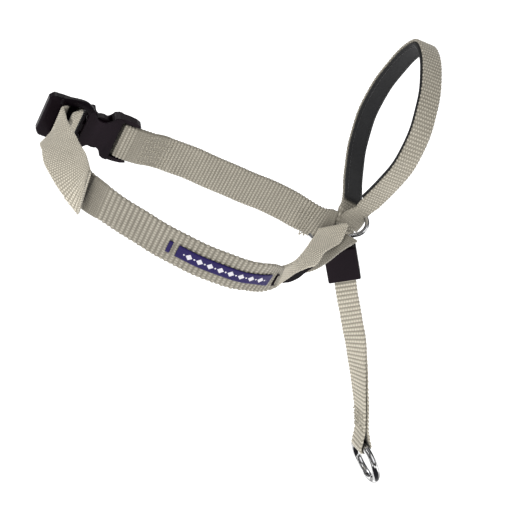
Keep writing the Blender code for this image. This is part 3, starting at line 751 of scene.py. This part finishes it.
def chrome(name):
    """Bright plated steel, with fine scratches and a painted reflection: dark and light streaks of a room,
    painted into its colour from the reflected direction.
    """
    g = Graph(name)
    scratch = g.noise(g.place(), 900.0)
    # Painted reflection: the base colour is read from the reflected direction through dark and light bands.
    height = g.add("SeparateXYZ", Vector=g.place("Reflection")).outputs[2]
    bend = g.noise(g.place("Reflection"), 1.1, 1.0)
    where = g.math("MULTIPLY_ADD", height, 0.25, g.math("MULTIPLY", bend, 0.9))
    painted_reflection = g.add("ValToRGB", Fac=where)
    stops = painted_reflection.color_ramp.elements
    stops[0].position, stops[0].color = 0.28, (0.01, 0.01, 0.012, 1)
    stops[1].position, stops[1].color = 0.66, (0.70, 0.70, 0.72, 1)
    for position, level in ((0.34, 0.01), (0.37, 0.5), (0.47, 0.85),
                            (0.49, 0.02), (0.55, 0.015), (0.58, 0.45)):
        stops.new(position).color = (level, level, level, 1)
    g.bump(scratch, 0.05, 0.05)
    rough = g.math("MULTIPLY_ADD", scratch, 0.06, 0.08)
    return g.finish(Base_Color=painted_reflection.outputs[0], Metallic=1.0, Roughness=rough)


# ---------------------------------------------------------------- the halter's pieces

def attach(piece, slot, body, *replaced):
    """Hides the CAD nodes a piece stands for, and makes it ride on a body. The slot is not used."""
    if replaced:
        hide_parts(*replaced)
    if body is not None:
        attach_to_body(piece, body)


def bend_between(piece, matrix, start, end):
    """Bakes a piece's transform into its mesh. Start and end, places in a part's frame, are turned into
    metres and go no further.
    """
    start, end = (tuple(matrix @ Vector(place) * MM) for place in (start, end))
    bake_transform(piece)
    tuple(start)
    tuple(end)


def follow_plug(piece):
    """Bakes the strap's transform, given places beside the plug and further along the neck strap, in the
    neck frame.
    """
    bend_between(piece, NECK, (-70, -50, 0), (-90.4, -22.8, 0))


def make_front_web(path, finish):
    """The front run's ribbed length, to just past the label. Its ribs are pressed flat under the hem."""
    run = path.run
    pressed = ramp(run, LOOSE_LENGTH - 3, LOOSE_LENGTH)
    pressed = pressed * (1 - ramp(run, LOOSE_LENGTH + 5, LOOSE_LENGTH + 7))
    fading = ramp(run, RIBBED_LENGTH - 8, RIBBED_LENGTH)
    amount = (1 - pressed) * (1 - 0.8 * fading)
    ribbed = path.part(0, RIBBED_LENGTH, BOLD.pitch / 4)
    amount = amount[:len(ribbed.run)]
    narrowed = ribbed.width - 3 * (1 - ramp(ribbed.run, 16, 34))
    web = sheet("neck_web_front", ribbed, narrowed, NECK_THICK, BOLD, finish, NECK, amount)
    attach(web, "webbing", None, "front_neck_webbing")
    follow_plug(web)


def make_fold(finish):
    """The front run's last stretch, folded and twisted down to the ring."""
    path = Path(front_run(), DENSE.pitch / 4, RIBBED_LENGTH - 0.8, square=False)
    amount = 0.25 + 0.95 * ramp(path.run, RIBBED_LENGTH, RIBBED_LENGTH + 12)
    fold = sheet("neck_web_fold", path, path.width, NECK_THICK, DENSE, finish, NECK, amount)
    attach(fold, "webbing", "neck_strap")


def make_loose_end(finish, sewing):
    """The loose end, with its hem turned over and sewn."""
    path = Path(loose_run(), DENSE.pitch / 4, square=False)
    end = path.length
    from_end = end - path.run
    hem = 1 - ramp(from_end, 4.6, 5.6)
    clear_of_front = 1.4 * ramp(from_end, LOOSE_LENGTH + 5, LOOSE_LENGTH - 5)
    web = sheet("neck_web_loose", path.moved(0.35 * hem + clear_of_front), path.width,
                NECK_THICK + 0.8 * hem, DENSE, finish, NECK, 1 + 0.8 * hem)
    attach(web, "webbing", None, "neck_webbing_free_end")
    follow_plug(web)
    marks = [(end - HEM_LENGTH, t) for t in np.arange(-9.1, 9.2, 1.3)]
    row = stitches("hem_stitching", path, marks, NECK_THICK / 2 + 1.5, 0.28, sewing, NECK)
    attach(row, "thread", None, "hem_stitch")
    follow_plug(row)


def make_rear_web(path, finish):
    """The rear run, whose ribs are pressed flat by its stitching, stand bolder again past it, and are
    flattened at the ring, which darkens its end: painted shade where it turns behind the far leg.
    """
    run, end = path.run, path.length
    sewn = ramp(run, 25, 27) * (1 - ramp(run, 42, 44))
    # Painted shade: the ribs are lowered over the last few millimetres, which darkens the strap's end.
    amount = 1 - 0.8 * sewn + 0.7 * ramp(run, end - 24, end - 18) - 1.4 * ramp(run, end - 10, end - 4)
    web = sheet("neck_web_rear", path, path.width, NECK_THICK, FINE, finish, NECK, amount)
    attach(web, "webbing", "neck_strap", "rear_neck_webbing")


def make_lower_layer(finish):
    path = Path(lower_layer(), FINE.pitch / 4, square=False)
    web = sheet("neck_web_lower_layer", path, path.width, NECK_THICK, FINE, finish, NECK, 0.6)
    attach(web, "webbing", "neck_strap")


def sew_buckle(path, sewing):
    """The field of knotted stitching beside the buckle."""
    box = knots("socket_stitching", path, (32.0, 46.5, 7.6), 1.6, 1.1, NECK_THICK / 2 - 0.12, 0.3, sewing)
    attach(box, "thread", "neck_strap", "socket_box_stitch")


def sew_ring(path, sewing):
    """Rough stitching where the rear run is sewn down beside the ring, and frayed yarns at its edge."""
    end = path.length
    area = (end - 19, end - 12.8, 7.0)
    rough = knots("ring_stitching", path, area, 1.9, 1.3, NECK_THICK / 2 - 0.12, 0.22, sewing)
    attach(rough, "thread", "neck_strap", "ring_stitch")
    for k, (along, length) in enumerate(((end - 14, 1.7), (end - 12.5, 2.3), (end - 11, 1.2))):
        edge = np.interp(along, path.run, path.width) / 2 - 0.6
        line = [path.at(along + 0.9 * share * math.sin(2 * k + 3 * share), -edge - length * share,
                        0.7 - 0.6 * share)
                for share in np.linspace(0, 1, 6)]
        yarn = tube("frayed_yarn_%d" % k, line, 0.3, 8, sewing, NECK)
        attach(yarn, "thread", "neck_strap")


def make_label(front, finish, dark, sewing):
    """The label's ribbon and the tack at each end of it, the right one dark with a light thread."""
    path = front.part(LABEL_FROM, LABEL_TO, 0.8)
    from_end = np.minimum(path.run - path.run[0], path.run[-1] - path.run)
    face = sheet("label_ribbon_face", path.moved(LABEL_PROUD, LABEL_SHIFT), LABEL_WIDTH, 0.5, SATIN, finish,
                 NECK, ramp(from_end, 2.4, 2.6))
    attach(face, "label", "neck_strap", "label_ribbon")
    for side, along, colour in (("left", LABEL_FROM - 4.5, finish), ("right", LABEL_TO + 4.0, dark)):
        path = front.part(along, along + 1.8, 0.3).moved(LABEL_PROUD, LABEL_SHIFT)
        tack = sheet("label_tack_%s_face" % side, path, LABEL_WIDTH, 0.55, TACK, colour, NECK, 0.0)
        attach(tack, "label", "neck_strap", "label_tack_" + side)
    line = [front.at(LABEL_TO + 4.9, t, LABEL_PROUD + 0.35) for t in np.linspace(-2.2, 2.2, 8)]
    light = tube("label_tack_right_line", line, 0.24, 8, sewing, NECK)
    attach(light, "thread", "neck_strap")


def make_throat_pad(finish):
    """The slip, set back behind the strap's face."""
    path = Path(throat_run(), 0.4, square=False)
    slip = sheet("throat_pad_slip", path.moved(-0.9), path.width, 1.4, SLIP, finish, NECK)
    attach(slip, "rubber", "neck_strap", "throat_pad")


def make_neck_strap(bold, fine, loose, sewing, label, rubber):
    front = Path(front_run(), BOLD.pitch / 4)
    rear = Path(rear_run(), FINE.pitch / 4, square=False)
    make_front_web(front, bold)
    # The fold takes the brightest webbing copy, which is painted light.
    make_fold(loose)
    make_loose_end(loose, sewing)
    make_rear_web(rear, fine)
    make_lower_layer(fine)
    sew_buckle(rear, sewing)
    sew_ring(rear, sewing)
    make_label(front, label, rubber, sewing)
    make_throat_pad(rubber)


def make_nose_loop(web, pad, pad_thread):
    path = Path(nose_run(), NARROW.pitch / 4)
    # Painted shade: the ribs fade over the near leg's last stretch into the ring, which darkens it there.
    amount = 1 - 0.75 * ramp(path.run, path.length - 18, path.length - 6)
    loop = sheet("nose_web", path, path.width, NOSE_THICK, NARROW, web, NOSE, amount)
    attach(loop, "webbing", None, "nose_webbing")
    bend_between(loop, NOSE, (0, 0, 0), (0, 0, 14))

    first, last = PAD_FROM, path.length - PAD_SHORT_OF_END
    lift = -(NOSE_THICK / 2 + 0.5 + PAD_THICK / 2)
    middle = path.part(first, last, 0.9)
    from_end = np.minimum(middle.run - middle.run[0], middle.run[-1] - middle.run)
    width = PAD_WIDTH * np.sqrt(np.clip(0.86 + from_end / 6, 0, 1))
    thick = PAD_THICK * (0.75 + 0.25 * ramp(from_end, 0, 1.5))
    cushion = sheet("nose_pad_cushion", middle.moved(lift, PAD_SHIFT), width, thick, KNIT, pad, NOSE,
                    round_edge=0.8)
    attach(cushion, "pad", "nose_loop", "nose_pad")
    for name, side in (("left", -1), ("right", 1)):
        across = PAD_SHIFT + side * (PAD_WIDTH / 2 - 1.3)
        marks = [(s, across) for s in np.arange(first + 1.5, last - 1.5, 2.6)]
        row = stitches("pad_stitching_" + name, path, marks, lift - PAD_THICK / 2 - 0.05, -0.2, pad_thread,
                       NOSE)
        attach(row, "pad_thread", "nose_loop", "pad_stitch_" + name)


def make_tail(web, sewing):
    path = Path(tail_run(), ROPY.pitch / 4)
    tail = sheet("tail_web", path, NOSE_WIDTH, NOSE_THICK, ROPY, web, TAIL)
    attach(tail, "webbing", None, "tail_webbing_upper", "tail_webbing_lower")
    bend_between(tail, TAIL, (0, 0, TAIL_BEND + 2), (0, 0, TAIL_BEND - 8))

    eye = path.length / 2
    area = (eye - 27, eye - 15, 4.4)
    tack = knots("tail_tack", path, area, 1.55, 1.3, NOSE_THICK / 2 - 0.05, 0.36, sewing, TAIL)
    attach(tack, "thread", "tail_end", "tail_bartack")

    for name, offset in (("near", -LAYER_OFFSET), ("far", LAYER_OFFSET)):
        legs = Path(leg_run(), NARROW.pitch / 4).moved(offset)
        leg = sheet("leg_web_" + name, legs, NOSE_WIDTH, NOSE_THICK, NARROW, web, TAIL)
        attach(leg, "webbing", None)
        bend_between(leg, TAIL, (5, 2, 22), (0, 0, 9.5))


def make_joining_ring(metal):
    """The long ring, of two half circles joined by straight sides."""
    straight = RING_HALF_LENGTH - RING_HALF_WIDTH
    line = [(centre + RING_HALF_WIDTH * math.cos(a), RING_HALF_WIDTH * math.sin(a), 0)
            for centre, start in ((straight, -90), (-straight, 90)) for a in arc(start, start + 180, 32)]
    ring = tube("joining_ring", line, RING_WIRE, 20, metal, RING, closed=True)
    attach(ring, "steel", "ring", "center_ring")


def make_leash_ring(metal):
    """The round ring that hangs in the tail's eye."""
    across = across_tail(TAIL_EYE)
    hang = Vector((0.06, 0, -1)).normalized()
    hang = (hang - across * hang.dot(across)).normalized()
    centre = tail_centre(TAIL_EYE) + WIRE_RISE * UP + hang * LEASH_RADIUS
    line = [centre + across * LEASH_RADIUS * math.cos(a) + hang * LEASH_RADIUS * math.sin(a)
            for a in arc(0, 360, 96)[:-1]]
    leash = tube("leash_loop", line, LEASH_WIRE, 24, metal, TAIL, closed=True)
    attach(leash, "steel", "leash", "leash_ring")


def make_plug_rails(plastic):
    """The plug's arched top rail and the deep inner wall of its end bar."""
    arch = [(-25.5, -2.1, 9.2), (-22.0, -2.1, 10.3), (-18.0, -2.1, 11.0), (-14.3, -2.1, 11.1),
            (-11.5, -2.1, 10.0), (-9.6, -2.1, 8.4)]
    upright = [(-23.6, 2.4, -8.5), (-23.6, 2.4, 0), (-23.6, 2.4, 9.5)]
    for name, line, half_across, half_deep in (("plug_top_rail", arch, 1.8, 1.85),
                                               ("plug_inner_wall", upright, 2.0, 1.4)):
        rail = rounded_bar(name, line, half_across, half_deep, plastic, BUCKLE)
        attach(rail, "plastic", "buckle_plug")


def finish_hardware(nodes, plastic, metal):
    """The CAD's own buckle and clamp, with softened edges."""
    moulded_nodes = ("buckle_socket", "buckle_plug", "buckle_arm_upper", "buckle_arm_lower", "clamp_body",
                     "clamp_lever")
    for name in (*moulded_nodes, "clamp_pin"):
        node = nodes[name]
        node.data.materials.clear()
        node.data.materials.append(plastic if name in moulded_nodes else metal)
        node.data.shade_smooth()
        soft = node.modifiers.new("soft_edges", "BEVEL")
        soft.width = 0.5 * MM
        soft.segments = 2
        soft.limit_method = "ANGLE"
        soft.angle_limit = math.radians(40)
        weighted = node.modifiers.new("face_normals", "WEIGHTED_NORMAL")
        weighted.keep_sharp = True


def make_halter(nodes):
    # The last number scales each webbing's colour. These are lit and shaded copies of one webbing, painted
    # light: brighter for the loose end, its fold and the tail, darker for the front and rear runs.
    bold = webbing("ribbed_webbing", BOLD, 0.82)
    fine = webbing("fine_webbing", FINE, 0.83)
    loose = webbing("loose_end_webbing", DENSE, 1.5)
    narrow = webbing("narrow_webbing", NARROW, 1.02)
    ropy = webbing("tail_webbing", ROPY, 1.23)
    sewing = thread("pale_thread", THREAD_COLOUR)
    dark_sewing = thread("dark_thread", PAD_COLOUR)
    plastic = moulded("moulded_plastic", PLASTIC_COLOUR, 0.34)
    rubber = moulded("matte_rubber", PLASTIC_COLOUR, 0.6)
    pad = padding("pad_cloth", PAD_COLOUR)
    label = ribbon("label_satin", LABEL_COLOUR, MARK_COLOUR)
    metal = chrome("plated_steel")
    make_neck_strap(bold, fine, loose, sewing, label, rubber)
    make_nose_loop(narrow, pad, dark_sewing)
    make_tail(ropy, sewing)
    make_joining_ring(metal)
    make_leash_ring(metal)
    make_plug_rails(plastic)
    finish_hardware(nodes, plastic, metal)


# ---------------------------------------------------------------- stage

def make_world():
    """A soft pale room, seen by the camera as white."""
    world = bpy.data.worlds.new("studio")
    world.use_nodes = True
    nodes, links = world.node_tree.nodes, world.node_tree.links
    background = nodes["Background"]
    background.inputs["Color"].default_value = (1, 1, 1, 1)
    rays = nodes.new("ShaderNodeLightPath")
    strength = nodes.new("ShaderNodeMath")
    strength.operation = "MULTIPLY_ADD"
    strength.inputs[1].default_value = WORLD_SEEN - WORLD_LIGHT
    strength.inputs[2].default_value = WORLD_LIGHT
    links.new(rays.outputs["Is Camera Ray"], strength.inputs[0])
    links.new(strength.outputs[0], background.inputs["Strength"])
    bpy.context.scene.world = world
    bpy.context.scene.view_settings.view_transform = "Standard"


def make_floor():
    pale = Graph("pale_floor").finish(Base_Color=(0.93, 0.93, 0.93), Roughness=0.9,
                                      Emission_Color=(1, 1, 1), Emission_Strength=0.85)
    corners = [(x * FLOOR_HALF, y * FLOOR_HALF, FLOOR_Z) for x, y in ((-1, -1), (1, -1), (1, 1), (-1, 1))]
    floor = add_mesh("floor", corners, [(0, 1, 2, 3)], pale, Matrix.Identity(4))


def make_lamps():
    for name, place, size, power in LAMPS:
        lamp = bpy.data.lights.new(name, "AREA")
        lamp.size = size
        lamp.energy = power
        holder = bpy.data.objects.new(name, lamp)
        holder.location = Vector(place) * MM
        holder.rotation_euler = (-holder.location).to_track_quat("-Z", "Y").to_euler()
        bpy.context.scene.collection.objects.link(holder)


def make_camera():
    lens = bpy.data.cameras.new("camera")
    lens.lens = LENS
    lens.sensor_width = SENSOR
    camera = bpy.data.objects.new("camera", lens)
    camera.location = Vector(CAMERA_AT) * MM
    camera.rotation_euler = (math.radians(CAMERA_TILT), 0, 0)
    bpy.context.scene.collection.objects.link(camera)
    bpy.context.scene.camera = camera


make_halter(frame["nodes"])
make_world()
make_floor()
make_lamps()
make_camera()
